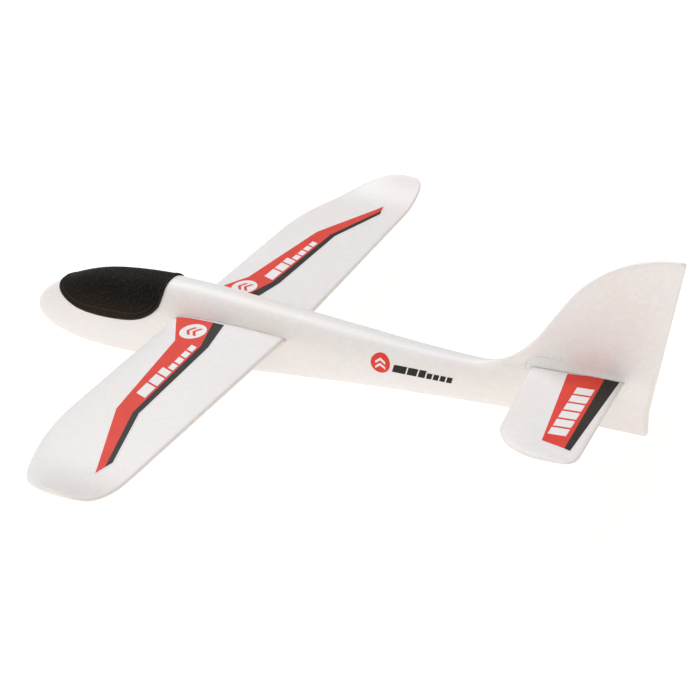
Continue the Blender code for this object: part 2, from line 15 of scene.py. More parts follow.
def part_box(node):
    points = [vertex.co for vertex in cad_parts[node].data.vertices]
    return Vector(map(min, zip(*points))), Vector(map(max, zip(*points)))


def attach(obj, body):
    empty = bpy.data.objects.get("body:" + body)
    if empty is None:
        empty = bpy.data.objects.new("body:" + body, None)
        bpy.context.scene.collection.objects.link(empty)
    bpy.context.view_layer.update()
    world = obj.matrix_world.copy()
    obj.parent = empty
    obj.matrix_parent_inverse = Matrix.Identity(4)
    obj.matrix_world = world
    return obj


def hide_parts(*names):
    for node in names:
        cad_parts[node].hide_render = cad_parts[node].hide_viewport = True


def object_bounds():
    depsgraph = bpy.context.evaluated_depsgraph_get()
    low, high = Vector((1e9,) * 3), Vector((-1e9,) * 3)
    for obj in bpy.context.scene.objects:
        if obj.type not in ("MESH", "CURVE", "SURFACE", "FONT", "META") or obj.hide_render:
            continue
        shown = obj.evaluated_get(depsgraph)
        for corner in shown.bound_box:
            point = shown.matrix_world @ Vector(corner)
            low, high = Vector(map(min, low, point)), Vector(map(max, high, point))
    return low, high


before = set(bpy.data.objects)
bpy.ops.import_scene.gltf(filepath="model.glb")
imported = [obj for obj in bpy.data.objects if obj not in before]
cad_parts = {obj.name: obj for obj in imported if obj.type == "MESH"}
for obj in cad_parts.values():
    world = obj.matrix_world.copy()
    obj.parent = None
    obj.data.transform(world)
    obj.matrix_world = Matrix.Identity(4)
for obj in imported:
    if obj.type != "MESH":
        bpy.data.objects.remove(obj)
cad_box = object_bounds()

MM = 0.001
SIDES = ((1.0, "left"), (-1.0, "right"))

# Camera: where it looks from and how it leans in degrees, its lens and sensor in millimetres, its distance
# and its aim from the middle of the object's box in metres
CAMERA_AZIMUTH = 120.716
CAMERA_ELEVATION = 31.244
CAMERA_ROLL = -5.265
CAMERA_LENS = 67.04
CAMERA_SENSOR = 36.0
CAMERA_DISTANCE = 0.8846
AIM_FROM_CENTRE = Vector((-0.0302, 0.0030, -0.0511))

# Floor: its side in metres, its distance under the object, its colour and its own soft glow. The glow
# is painted weaker close to the object, within a reach in metres, as a painted shadow under it.
FLOOR_SIDE = 60.0
FLOOR_DROP = 0.4
FLOOR_COLOUR = (0.50, 0.49, 0.48)
FLOOR_GLOW = (1.0, 0.965, 0.935)
FLOOR_GLOW_STRENGTH = 0.80
FLOOR_PAINTED_SHADOW = 0.88
FLOOR_PAINTED_SHADOW_REACH = (0.2, 0.9)

# Room light: colour overhead and at eye level, and up to what height one turns into the other
ZENITH = (0.56, 0.57, 0.585)
HORIZON = (0.47, 0.425, 0.395)
ZENITH_FROM = 0.8
# Lamps: name, place and target in metres, size in metres, power in watts, colour
LAMPS = (("top_softbox", (-0.80, -1.20, 2.35), (0.0, 0.0, 0.0), 2.0, 36.0, (0.96, 0.98, 1.0)),
         ("side_fill", (1.5, 0.15, 0.8), (0.0, 0.0, 0.05), 1.2, 5.3, (1.0, 0.89, 0.80)))

# White foam: sizes in metres of its fused beads, its grain, its slow waves and its drifts of tint
BEAD = 0.0024
FOAM_GRAIN = 0.0006
FOAM_WAVE = 0.009
FOAM_DRIFT = 0.055
FOAM_WARM = (0.838, 0.806, 0.780)
FOAM_COOL = (0.835, 0.820, 0.816)
FOAM_SEAM = (0.74, 0.72, 0.715)
# FOAM_EDGE_SHADE is a darker cream painted on rounded edges: painted shade of their curve
FOAM_EDGE_SHADE = (0.66, 0.625, 0.575)
# Cover foam: sizes in metres of its pores, specks, grain and drifts of tint, and the share of its height
# that is painted lighter brown as painted bounce light from below; the pressed edge shines more than the
# rest
COVER_PORE = 0.0011
COVER_SPECK = 0.0013
COVER_GRAIN = 0.0005
COVER_DRIFT = 0.03
COVER_BLACK = (0.0052, 0.0045, 0.0040)
COVER_BROWN = (0.0080, 0.0062, 0.0045)
# Lighter brown painted low on the cover: painted warm bounce light from below
COVER_PAINTED_BOUNCE = (0.0230, 0.0130, 0.0055)
COVER_PALE = (0.030, 0.025, 0.021)
COVER_PAINTED_BOUNCE_SHARE = 0.55
COVER_SHINE = 0.08
COVER_EDGE_SHINE = 0.26
# Film: sizes in metres of its drifts of tint, grain and ripples; each ink's name, two tints and roughness
FILM_DRIFT = 0.012
FILM_GRAIN = 0.0007
FILM_RIPPLE = 0.0030
INKS = (("ink_white", (0.86, 0.85, 0.85), (0.83, 0.82, 0.82), 0.38),
        ("ink_red", (0.77, 0.056, 0.036), (0.71, 0.048, 0.031), 0.40),
        ("ink_black", (0.017, 0.014, 0.013), (0.025, 0.019, 0.017), 0.40))
WHITE, RED, BLACK = range(3)

# Skins over the solids: corners closer than WELD metres are one, and triangles are joined if they bend
# less than FLAT_ENOUGH and their corners differ less than SHAPE_ENOUGH. An edge above SHARP_ANGLE is kept
# by EDGE_CREASE, and one within SEAM_REACH of the centre plane is kept whole. Foam swells by SWELL.
WELD = 1e-6
FLAT_ENOUGH = math.radians(12.0)
SHAPE_ENOUGH = math.radians(60.0)
SHARP_ANGLE = math.radians(38.0)
EDGE_CREASE = 0.8
SEAM_REACH = 20.0
SWELL = 0.13
SMOOTH_LEVELS = 2
# Tail slot: how far its lips come in, how far over and ahead of the tailplane they are looked for, how
# little a wall of the slot faces sideways, and how much a face round its end looks forward
SLOT_CLOSE = 0.24
SLOT_LIP_REACH = 1.2
SLOT_END_REACH = 1.0
SLOT_WALL_SIDEWAYS = 0.05
SLOT_END_FORWARD = 0.2

# A line cast at the object starts this far from the centre plane or the ground, in metres
CAST_FROM = 0.3

# Stickers: heights above the foam, each print layer on the one before. A corner of the white border
# reaches out MITRE_LIMIT borders at most.
FILM_LIFT = 0.05
FILM_THICKNESS = 0.10
PRINT_THICKNESS = 0.03
BORDER = 0.8
MITRE_LIMIT = 2.5
DISC_CORNERS = 40
# Every layer bends at lines PATCH_STEP apart, none closer than PATCH_END to its end; corners closer than
# PATCH_WELD are one
PATCH_STEP = 4.0
PATCH_END = 0.01
PATCH_WELD = 1e-5

# Wing band, port side: x and y of its outline and of the line between its two colours
BAND_ROOT_X = 18.0
BAND_FRONT = ((BAND_ROOT_X, -100.0), (46.5, -81.3), (126.7, -69.9), (184.6, -42.0))
BAND_REAR = ((172.0, -39.0), (125.6, -53.8), (46.0, -55.4), (BAND_ROOT_X, -60.8))
BAND_DIVIDE = ((BAND_ROOT_X, -69.6), (46.0, -61.0), (126.4, -57.9), (177.6, -40.5))
WING_DISC = (32.6, -76.2)
WING_DISC_RADIUS = 9.3
# Rows of dashes, read from the large ones to the small ones: widths, height and lean of each row
WING_DASHES = (((12.0, 9.0, 6.4), 8.4, 2.6), ((6.0, 6.0, 6.0, 6.0), 5.0, 1.56))
WING_DASH_GAP = 1.7
WING_DASH_CLEAR = 1.5
# The row starts inboard on the starboard wing and outboard on the port wing
WING_DASH_INBOARD = 48.5
WING_DASH_OUTBOARD = 110.5

# Tail band, port side: its corners, the line between its two colours, and its row of equal bars
TAIL_BAND = ((7.6, 176.3), (75.8, 185.7), (79.2, 203.2), (3.9, 207.2))
TAIL_DIVIDE = ((4.9, 198.2), (78.4, 199.6))
TAIL_BARS = 6
TAIL_BAR_X = (18.5, 67.5)
TAIL_BAR_Y = (186.4, 196.6)
TAIL_BAR_GAP = 1.7
TAIL_BAR_LEAN = 1.2

# Mark on the fuselage side: y and z of the disc, and the line of dashes behind it
SIDE_DISC = (53.5, 40.6)
SIDE_DISC_RADIUS = 6.7
SIDE_DASHES = (((9.0, 6.6, 4.6), 5.2, 1.56), ((3.5, 3.5, 3.5, 3.5), 3.9, 1.17))
SIDE_DASH_START = 61.6
SIDE_DASH_BASE = 36.1
SIDE_DASH_FALL = 0.015
SIDE_DASH_GAP = 1.0

# Arrowheads in a disc, in disc radii: feet of the two, half their width, rise, thickness and shift
ARROW_FEET = (-0.38, 0.14)
ARROW_REACH = 0.52
ARROW_RISE = 0.36
ARROW_BAR = 0.26
ARROW_SHIFT = 0.06

# Canopy trim: radii of the rolled rim and of the ridge, how deep the rim sits in the cover, and how far
# up from the rim the ridge runs at the ends and how much more along the sides
RIM_RADIUS = 0.85
RIM_SUNK = 0.4
RIDGE_RADIUS = 0.45
RIDGE_INSET = (2.2, 4.0)
TUBE_ROUNDNESS = 3
# Search for the rim: its points are ordered round a hub above the cover and RIM_STEP apart. The cover's
# underside hardly faces sideways and turns sharply into the side; the recess in it is left out. A point
# within SAME_PLACE of the centre plane counts for both sides.
HUB_HEIGHT = 9.0
RIM_STEP = 0.8
RIM_SIDEWAYS = 0.02
RIM_TURN = 0.8
RECESS_REACH = 11.0
RECESS_Y = (-200.0, -125.0)
SAME_PLACE = 0.01

# Fillet where the tailplane enters the fin: its reach over the tailplane and how much more there is ahead
# of it and behind it, its reach out along the tailplane, how far its outer edge dips into the fin, its
# clearance from the tailplane, and how far its hidden back sinks into the fin
FILLET_HEIGHT = (2.6, 4.6)
FILLET_WIDTH = 2.4
FILLET_DIP = 0.08
FILLET_CLEAR = 0.24
FILLET_SINK = 0.9
FILLET_STEPS = 6
# Where the tailplane's outline is taken, and how far from it the fin's side is measured
FILLET_SECTION_X = 6.0
FILLET_FOOT = 1.5


# Materials

def make_material(name, colour, roughness, **sockets):
    """Principled material, its node tree and its shader; sockets are the shader's own constants."""
    made = bpy.data.materials.new(name)
    made.use_nodes = True
    shader = made.node_tree.nodes["Principled BSDF"]
    shader.inputs["Base Color"].default_value = (*colour, 1.0)
    shader.inputs["Roughness"].default_value = roughness
    for socket, value in sockets.items():
        shader.inputs[socket.replace("_", " ")].default_value = value
    return made, made.node_tree, shader


def add_node(tree, kind, inputs=None, **settings):
    """Node of a kind, with each input linked to a socket or set to a plain value."""
    node = tree.nodes.new(kind)
    for name, value in settings.items():
        setattr(node, name, value)
    for name, value in (inputs or {}).items():
        if isinstance(value, bpy.types.NodeSocket):
            tree.links.new(value, node.inputs[name])
        else:
            node.inputs[name].default_value = value
    return node


def place_in_object(tree):
    """Place of a point in its piece's own space, so the grain moves with the piece."""
    return add_node(tree, "ShaderNodeTexCoord").outputs["Object"]


def noise(tree, where, size, detail=2.0, roughness=0.5):
    """Noise whose features are about size metres across."""
    inputs = {"Vector": where, "Scale": 1.0 / size, "Detail": detail, "Roughness": roughness}
    return add_node(tree, "ShaderNodeTexNoise", inputs).outputs["Fac"]


def cells(tree, where, size, feature):
    """Packed cells about size metres across, like the beads of a foam."""
    inputs = {"Vector": where, "Scale": 1.0 / size, "Randomness": 1.0}
    return add_node(tree, "ShaderNodeTexVoronoi", inputs, feature=feature)


def ranged(tree, value, low, high, to_low, to_high):
    """Value taken from the range low to high into the range to_low to to_high."""
    inputs = {"Value": value, "From Min": low, "From Max": high, "To Min": to_low, "To Max": to_high}
    return add_node(tree, "ShaderNodeMapRange", inputs).outputs["Result"]


def blended(tree, share, first, second, kind="MIX"):
    """Mix of two colours, each a socket or a plain colour, by a share."""
    node = add_node(tree, "ShaderNodeMix", data_type="RGBA", blend_type=kind)
    factor, colour_a, colour_b = node.inputs[0], node.inputs[6], node.inputs[7]
    for target, value in ((factor, share), (colour_a, first), (colour_b, second)):
        if isinstance(value, bpy.types.NodeSocket):
            tree.links.new(value, target)
        elif target == factor:
            target.default_value = value
        else:
            target.default_value = (*value, 1.0)
    return node.outputs[2]


def bumped(tree, height, distance, strength, under=None):
    """Surface direction with a relief of a height in metres, laid on the one under it."""
    inputs = {"Height": height, "Distance": distance, "Strength": strength}
    if under is not None:
        inputs["Normal"] = under
    return add_node(tree, "ShaderNodeBump", inputs).outputs["Normal"]


def bead_random(tree, where, size):
    """One random number for each bead."""
    colour = cells(tree, where, size, "F1").outputs["Color"]
    return add_node(tree, "ShaderNodeSeparateColor", {"Color": colour}).outputs["Red"]


def white_foam():
    """Moulded bead foam: fused beads with shallow seams, a pearly skin, a slow drift of tint and painted
    shade on its rounded edges.
    """
    made, tree, shader = make_material("moulded_white_foam", (0.86, 0.85, 0.84), 0.5,
                                       Subsurface_Weight=0.12, Subsurface_Scale=0.004,
                                       Coat_Weight=0.6, Coat_Roughness=0.34)
    where = place_in_object(tree)
    drift = ranged(tree, noise(tree, where, FOAM_DRIFT), 0.35, 0.65, 0.0, 1.0)
    tint = blended(tree, drift, FOAM_WARM, FOAM_COOL)
    bead = bead_random(tree, where, BEAD)
    shade = ranged(tree, bead, 0.0, 1.0, 0.978, 1.015)
    grey = add_node(tree, "ShaderNodeCombineColor", {"Red": shade, "Green": shade, "Blue": shade})
    beaded = blended(tree, 1.0, tint, grey.outputs["Color"], "MULTIPLY")
    seam = cells(tree, where, BEAD, "DISTANCE_TO_EDGE").outputs["Distance"]
    rise = ranged(tree, seam, 0.0, 0.16, 0.0, 1.0)
    seamed = blended(tree, ranged(tree, rise, 0.0, 1.0, 0.14, 0.0), beaded, FOAM_SEAM)
    # Painted shade: the more sharply an edge is rounded, the more it is darkened towards FOAM_EDGE_SHADE,
    # standing in for its shading
    edges = add_node(tree, "ShaderNodeNewGeometry").outputs["Pointiness"]
    edge_shade = ranged(tree, edges, 0.505, 0.56, 0.0, 0.55)
    edge_shaded = blended(tree, edge_shade, seamed, FOAM_EDGE_SHADE)
    tree.links.new(edge_shaded, shader.inputs["Base Color"])
    grain = noise(tree, where, FOAM_GRAIN, 3.0, 0.6)
    rough = add_node(tree, "ShaderNodeMath", {0: ranged(tree, bead, 0.0, 1.0, 0.40, 0.62),
                                              1: ranged(tree, grain, 0.3, 0.7, -0.06, 0.06)})
    tree.links.new(rough.outputs["Value"], shader.inputs["Roughness"])
    fine = bumped(tree, grain, 0.00008, 0.5)
    waves = bumped(tree, noise(tree, where, FOAM_WAVE, 1.0), 0.0005, 0.35, fine)
    tree.links.new(bumped(tree, rise, 0.00016, 0.45, waves), shader.inputs["Normal"])
    return made


def black_foam(name, shine):
    """Dense dark foam of the cover: brown-black with pale specks, and a lighter brown painted low on its
    sides as painted bounce light.
    """
    made, tree, shader = make_material(name, (0.010, 0.009, 0.007), 0.62, Specular_IOR_Level=shine)
    where = place_in_object(tree)
    drift = ranged(tree, noise(tree, where, COVER_DRIFT), 0.3, 0.7, 0.0, 1.0)
    low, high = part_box("canopy")
    height = add_node(tree, "ShaderNodeSeparateXYZ", {"Vector": where}).outputs["Z"]
    # Painted light: towards the bottom of the cover its colour turns lighter brown, standing in for warm
    # bounce light from below
    bounce_share = ranged(tree, height, low.z, low.z + COVER_PAINTED_BOUNCE_SHARE * (high.z - low.z), 1.0, 0.0)
    clear = blended(tree, drift, COVER_BLACK, COVER_BROWN)
    tint = blended(tree, bounce_share, clear, COVER_PAINTED_BOUNCE)
    pores = cells(tree, where, COVER_PORE, "F1").outputs["Distance"]
    speck = ranged(tree, noise(tree, where, COVER_SPECK, 3.0, 0.7), 0.54, 0.68, 0.0, 1.0)
    tree.links.new(blended(tree, speck, tint, COVER_PALE), shader.inputs["Base Color"])
    tree.links.new(ranged(tree, speck, 0.0, 1.0, 0.66, 0.48), shader.inputs["Roughness"])
    pitted = bumped(tree, pores, 0.00022, 0.6)
    tree.links.new(bumped(tree, noise(tree, where, COVER_GRAIN, 3.0), 0.0001, 0.5, pitted),
                   shader.inputs["Normal"])
    return made


def printed_film(name, colour, darker, roughness):
    """Ink on vinyl film: slightly uneven colour and a soft gloss."""
    made, tree, shader = make_material(name, colour, roughness, Specular_IOR_Level=0.22)
    where = place_in_object(tree)
    drift = ranged(tree, noise(tree, where, FILM_DRIFT, 3.0), 0.35, 0.65, 0.0, 1.0)
    tree.links.new(blended(tree, drift, colour, darker), shader.inputs["Base Color"])
    grain = noise(tree, where, FILM_GRAIN, 2.0)
    tree.links.new(ranged(tree, grain, 0.3, 0.7, roughness - 0.06, roughness + 0.08),
                   shader.inputs["Roughness"])
    tree.links.new(bumped(tree, noise(tree, where, FILM_RIPPLE, 2.0), 0.00012, 0.35),
                   shader.inputs["Normal"])
    return made


def hard_material(name, colour, second, roughness, grain_size, **sockets):
    """Metal, glass fibre or plastic of the inner pieces, with a fine drawn or cast grain."""
    made, tree, shader = make_material(name, colour, roughness, **sockets)
    where = place_in_object(tree)
    drift = noise(tree, where, grain_size * 6.0, 3.0)
    tree.links.new(blended(tree, drift, colour, second), shader.inputs["Base Color"])
    grain = noise(tree, where, grain_size, 2.0)
    tree.links.new(ranged(tree, grain, 0.3, 0.7, roughness - 0.08, roughness + 0.1),
                   shader.inputs["Roughness"])
    tree.links.new(bumped(tree, grain, 0.00005, 0.4), shader.inputs["Normal"])
    return made


# Pieces made from the frame's own solids

def clean_copy(node_name):
    """The node's solid with shared corners and its triangles joined back into four-sided faces."""
    bm = bmesh.new()
    bm.from_mesh(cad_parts[node_name].data)
    bmesh.ops.remove_doubles(bm, verts=bm.verts, dist=WELD)
    bmesh.ops.join_triangles(bm, faces=bm.faces, angle_face_threshold=FLAT_ENOUGH,
                             angle_shape_threshold=SHAPE_ENOUGH)
    bm.normal_update()
    return bm


def linked_object(name, bm, materials):
    """Puts a finished working mesh into the scene as an object, and frees the working mesh."""
    mesh = bpy.data.meshes.new(name)
    bm.to_mesh(mesh)
    bm.free()
    for each in materials:
        mesh.materials.append(each)
    made = bpy.data.objects.new(name, mesh)
    bpy.context.scene.collection.objects.link(made)
    return made


def settle(piece, body, slot, *nodes):
    """Rides a finished piece on its body and hides the solids that it stands for; its finish, slot, is not
    used.
    """
    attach(piece, body)
    if nodes:
        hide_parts(*nodes)
    return piece


def close_tail_slot(bm):
    """Narrows the slot to the close fit of the real foam: its lips come in towards the tailplane."""
    low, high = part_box("tailplane")
    middle = (low.z + high.z) / 2
    reach = (high.z - low.z) / 2 + SLOT_LIP_REACH * MM
    front, rear = low.y - SLOT_END_REACH * MM, high.y + SLOT_END_REACH * MM
    for vert in bm.verts:
        near = front < vert.co.y < rear and abs(vert.co.z - middle) < reach
        on_slot = any(abs(face.normal.x) < SLOT_WALL_SIDEWAYS or face.normal.y < -SLOT_END_FORWARD
                      for face in vert.link_faces)
        if near and on_slot:
            vert.co.z += math.copysign(SLOT_CLOSE * MM, middle - vert.co.z)


def skin(name, node_name, body, slot, shade, swell=SWELL):
    """Smooth surface over a node, its edges kept but eased, swollen by a given amount."""
    bm = clean_copy(node_name)
    if node_name == "fuselage":
        close_tail_slot(bm)
    crease = bm.edges.layers.float.new("crease_edge")
    for edge in bm.edges:
        if len(edge.link_faces) == 2 and edge.calc_face_angle() > SHARP_ANGLE:
            at_seam = max(abs(vert.co.x) for vert in edge.verts) < SEAM_REACH * MM
            edge[crease] = 1.0 if at_seam else EDGE_CREASE
    for face in bm.faces:
        face.smooth = True
    piece = linked_object(name, bm, [shade])
    rounding = piece.modifiers.new("smooth", "SUBSURF")
    rounding.levels = SMOOTH_LEVELS
    rounding.render_levels = SMOOTH_LEVELS
    if swell:
        growth = piece.modifiers.new("close_gaps", "DISPLACE")
        growth.strength = swell * MM
        growth.mid_level = 0.0
    return settle(piece, body, slot, node_name)


def surface_of(piece):
    """Search tree of the piece as it is shown."""
    bpy.context.view_layer.update()
    return BVHTree.FromObject(piece, bpy.context.evaluated_depsgraph_get())


# Stickers

def line_at(points, at):
    """Second coordinate of a broken line, read at a value of its first."""
    rows = sorted(points)
    for start, end in zip(rows, rows[1:]):
        if at <= end[0]:
            share = (at - start[0]) / (end[0] - start[0])
            return start[1] + share * (end[1] - start[1])
    return rows[-1][1]


def grown(outline, distance):
    """Outline moved outwards by a distance; it runs either way round."""
    following = outline[1:] + outline[:1]
    area = sum(a[0] * b[1] - b[0] * a[1] for a, b in zip(outline, following))
    turn = 1.0 if area > 0 else -1.0
    moved = []
    for i, point in enumerate(outline):
        here = Vector(point)
        first = (here - Vector(outline[i - 1])).normalized()
        second = (Vector(following[i]) - here).normalized()
        out_a = Vector((first.y, -first.x)) * turn
        out_b = Vector((second.y, -second.x)) * turn
        middle = (out_a + out_b).normalized()
        reach = distance / max(middle.dot(out_a), 1.0 / MITRE_LIMIT)
        moved.append(tuple(here + middle * reach))
    return moved


def round_outline(centre, radius):
    """Corners of a disc, evenly spaced."""
    angles = [math.tau * i / DISC_CORNERS for i in range(DISC_CORNERS)]
    return [(centre[0] + radius * math.cos(a), centre[1] + radius * math.sin(a)) for a in angles]


def over_surface(surface, axis, side):
    """Maps sticker coordinates and a height, in millimetres, to a point over a surface."""
    def place(u, v, height):
        if axis == "z":
            start, way = Vector((u * MM * side, v * MM, CAST_FROM)), Vector((0.0, 0.0, -1.0))
        else:
            start, way = Vector((CAST_FROM * side, u * MM, v * MM)), Vector((-side, 0.0, 0.0))
        hit = surface.ray_cast(start, way)[0]
        return hit - way * height * MM
    return place


def lay_patch(bm, outline, low, high, place, ink):
    """Adds a closed thin plate over an outline, fine enough to follow the surface under it."""
    flat = bmesh.new()
    flat.faces.new([flat.verts.new((u, v, 0.0)) for u, v in outline])
    for axis, across in enumerate((Vector((1.0, 0.0, 0.0)), Vector((0.0, 1.0, 0.0)))):
        values = [point[axis] for point in outline]
        at = (math.floor(min(values) / PATCH_STEP) + 1) * PATCH_STEP
        while at < max(values) - PATCH_END:
            geometry = flat.verts[:] + flat.edges[:] + flat.faces[:]
            bmesh.ops.bisect_plane(flat, geom=geometry, dist=PATCH_WELD, plane_co=across * at,
                                   plane_no=across)
            at += PATCH_STEP
    bmesh.ops.triangulate(flat, faces=[face for face in flat.faces if len(face.verts) > 4])
    under = {vert: bm.verts.new(place(vert.co.x, vert.co.y, low)) for vert in flat.verts}
    over = {vert: bm.verts.new(place(vert.co.x, vert.co.y, high)) for vert in flat.verts}
    faces = []
    for face in flat.faces:
        ring = list(face.verts)
        faces.append(bm.faces.new([over[vert] for vert in ring]))
        faces.append(bm.faces.new([under[vert] for vert in reversed(ring)]))
    for edge in flat.edges:
        if len(edge.link_faces) == 1:
            start, end = edge.verts
            faces.append(bm.faces.new((under[start], under[end], over[end], over[start])))
    for face in faces:
        face.material_index = ink
    bmesh.ops.recalc_face_normals(bm, faces=faces)
    flat.free()


def make_sticker(name, node_name, body, place, layers, inks):
    """One sticker: layers are (outline, level, ink), level 0 being the film itself."""
    bm = bmesh.new()
    top = FILM_LIFT + FILM_THICKNESS
    for outline, level, ink in layers:
        if level == 0:
            lay_patch(bm, outline, FILM_LIFT, top, place, ink)
        else:
            low = top + (level - 1) * PRINT_THICKNESS
            lay_patch(bm, outline, low, low + PRINT_THICKNESS, place, ink)
    return settle(linked_object(name, bm, inks), body, "printed_film", node_name)


def dashes(rows, start, base_at, gap, way=1.0, rise=1.0):
    """Slanted dashes side by side from start, in rows of one height; base_at is the line under them."""
    shapes = []
    for widths, height, lean in rows:
        for width in widths:
            ends = (start, start + width * way)
            feet = [(at, base_at(at)) for at in ends]
            tops = [(at + lean * way, base_at(at) + height * rise) for at in reversed(ends)]
            shapes.append(feet + tops)
            start += (width + gap) * way
    return shapes


def arrowheads(centre, radius, way):
    """Two plain arrowheads in a disc, pointing along +v or -v."""
    u, v = centre
    shapes = []
    for foot in ARROW_FEET:
        corners = ((ARROW_REACH, foot), (0.0, foot + ARROW_RISE), (-ARROW_REACH, foot),
                   (-ARROW_REACH, foot - ARROW_BAR), (0.0, foot + ARROW_RISE - ARROW_BAR),
                   (ARROW_REACH, foot - ARROW_BAR))
        shapes.append([(u + a * radius, v + (b + ARROW_SHIFT) * radius * way) for a, b in corners])
    return shapes


def wing_band_layers(side):
    """White-edged band in red and black, with a disc at the root and dashes along it."""
    front, rear, divide = list(BAND_FRONT), list(BAND_REAR), list(BAND_DIVIDE)
    edged = [(max(x, BAND_ROOT_X), y) for x, y in grown(front + rear, BORDER)]
    layers = [(edged, 0, WHITE), (front + divide[::-1], 1, RED), (divide + rear, 1, BLACK),
              (round_outline(WING_DISC, WING_DISC_RADIUS), 2, WHITE)]
    layers += [(shape, 3, RED) for shape in arrowheads(WING_DISC, WING_DISC_RADIUS, -1.0)]

    def base_at(x):
        return line_at(BAND_DIVIDE, x) - WING_DASH_CLEAR

    start, way = (WING_DASH_OUTBOARD, -1.0) if side > 0 else (WING_DASH_INBOARD, 1.0)
    row = dashes(WING_DASHES, start, base_at, WING_DASH_GAP, way, -1.0)
    return layers + [(shape, 2, WHITE) for shape in row]


def tail_band_layers():
    """White-edged band in red and black with equal white bars."""
    inner, outer = TAIL_DIVIDE
    red = [TAIL_BAND[0], TAIL_BAND[1], outer, inner]
    black = [inner, outer, TAIL_BAND[2], TAIL_BAND[3]]
    pitch = (TAIL_BAR_X[1] - TAIL_BAR_X[0] + TAIL_BAR_GAP) / TAIL_BARS
    row = ([pitch - TAIL_BAR_GAP] * TAIL_BARS, TAIL_BAR_Y[1] - TAIL_BAR_Y[0], TAIL_BAR_LEAN)
    bars = dashes([row], TAIL_BAR_X[0], lambda x: TAIL_BAR_Y[1], TAIL_BAR_GAP, rise=-1.0)
    layers = [(grown(list(TAIL_BAND), BORDER), 0, WHITE), (red, 1, RED), (black, 1, BLACK)]
    return layers + [(bar, 2, WHITE) for bar in bars]


def side_mark_layers():
    """Red disc with white arrowheads, and black dashes behind it."""
    layers = [(round_outline(SIDE_DISC, SIDE_DISC_RADIUS), 0, RED)]
    layers += [(shape, 1, WHITE) for shape in arrowheads(SIDE_DISC, SIDE_DISC_RADIUS, 1.0)]

    def base_at(y):
        return SIDE_DASH_BASE - SIDE_DASH_FALL * (y - SIDE_DASH_START)

    row = dashes(SIDE_DASHES, SIDE_DASH_START, base_at, SIDE_DASH_GAP)
    return layers + [(shape, 0, BLACK) for shape in row]


# Canopy trim

def around(place):
    """Angle of a point on the cover's side, seen from a hub above its middle; it runs front to rear."""
    low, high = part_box("canopy")
    return math.atan2(place.z - high.z - HUB_HEIGHT * MM, place.y - (low.y + high.y) / 2)


def spaced(rows, place_of):
    """The rows whose places are at least RIM_STEP from the one kept before."""
    kept = [rows[0]]
    for row in rows[1:]:
        if math.dist(place_of(row), place_of(kept[-1])) > RIM_STEP * MM:
            kept.append(row)
    return kept


def rim_points(side):
    """One side of the loop round the cover's lower edge: place, way out, and way up the cover."""
    bm = clean_copy("canopy")
    found = []
    for vert in bm.verts:
        under = min(vert.link_faces, key=lambda face: abs(face.normal.x))
        outer = max(vert.link_faces, key=lambda face: abs(face.normal.x) + max(face.normal.z, 0.0))
        on_side = vert.co.x * side > -SAME_PLACE * MM
        at_rim = abs(under.normal.x) < RIM_SIDEWAYS and under.normal.dot(outer.normal) < RIM_TURN
        in_recess = abs(vert.co.x) < RECESS_REACH * MM and RECESS_Y[0] < vert.co.y / MM < RECESS_Y[1]
        if on_side and at_rim and not in_recess:
            found.append((vert.co.copy(), outer.normal.copy(), -under.normal))
    bm.free()
    found.sort(key=lambda row: around(row[0]))
    return spaced(found, lambda row: row[0])


def tube(name, points, radius, cyclic, shade):
    """Round bead along a run of points, closed into a ring or with capped ends."""
    data = bpy.data.curves.new(name, "CURVE")
    data.dimensions = "3D"
    data.bevel_depth = radius * MM
    data.bevel_resolution = TUBE_ROUNDNESS
    data.use_fill_caps = not cyclic
    spline = data.splines.new("POLY")
    spline.points.add(len(points) - 1)
    for target, point in zip(spline.points, points):
        target.co = (*point, 1.0)
    spline.use_cyclic_u = cyclic
    data.materials.append(shade)
    made = bpy.data.objects.new(name, data)
    bpy.context.scene.collection.objects.link(made)
    return made


def make_canopy_trim(canopy, shade):
    """Rolled rim round the cover's edge and, further up its sides, the moulded ridge."""
    runs = [rim_points(side) for side, _ in SIDES]
    loop = runs[0] + runs[1][-1:0:-1]
    lip = [place + (up - out) * RIM_RADIUS * RIM_SUNK * MM for place, out, up in loop]
    settle(tube("canopy_rim", lip, RIM_RADIUS, True, shade), "canopy", "black_foam")
    surface = surface_of(canopy)
    for points, (_, word) in zip(runs, SIDES):
        ridge = []
        for place, _, up in points:
            inset = RIDGE_INSET[0] + RIDGE_INSET[1] * math.sin(around(place)) ** 2
            ridge.append(surface.find_nearest(place + up * inset * MM)[0])
        settle(tube("canopy_ridge_" + word, ridge, RIDGE_RADIUS, False, shade), "canopy",
               "black_foam")


# Fillet of the tailplane's slot

def section_loop(piece, x):
    """Outline of a piece where a plane across it cuts it: each place as y and z, and the way out."""
    bm = bmesh.new()
    bm.from_object(piece, bpy.context.evaluated_depsgraph_get())
    bmesh.ops.bisect_plane(bm, geom=bm.verts[:] + bm.edges[:] + bm.faces[:], plane_co=(x, 0.0, 0.0),
                           plane_no=(1.0, 0.0, 0.0), clear_outer=True, clear_inner=True)
    places = [vert for vert in bm.verts if vert.link_edges]
    middle = sum((vert.co for vert in places), Vector()) / len(places)
    chord = max(abs(vert.co.y - middle.y) for vert in places)
    thick = max(abs(vert.co.z - middle.z) for vert in places)

    def turn(vert):
        return math.atan2((vert.co.z - middle.z) / thick, (vert.co.y - middle.y) / chord)

    points = spaced([vert.co.yz for vert in sorted(places, key=turn)], lambda point: point)
    bm.free()
    loop = []
    for i, point in enumerate(points):
        along = (points[(i + 1) % len(points)] - points[i - 1]).normalized()
        loop.append((point, Vector((along.y, -along.x))))
    return loop


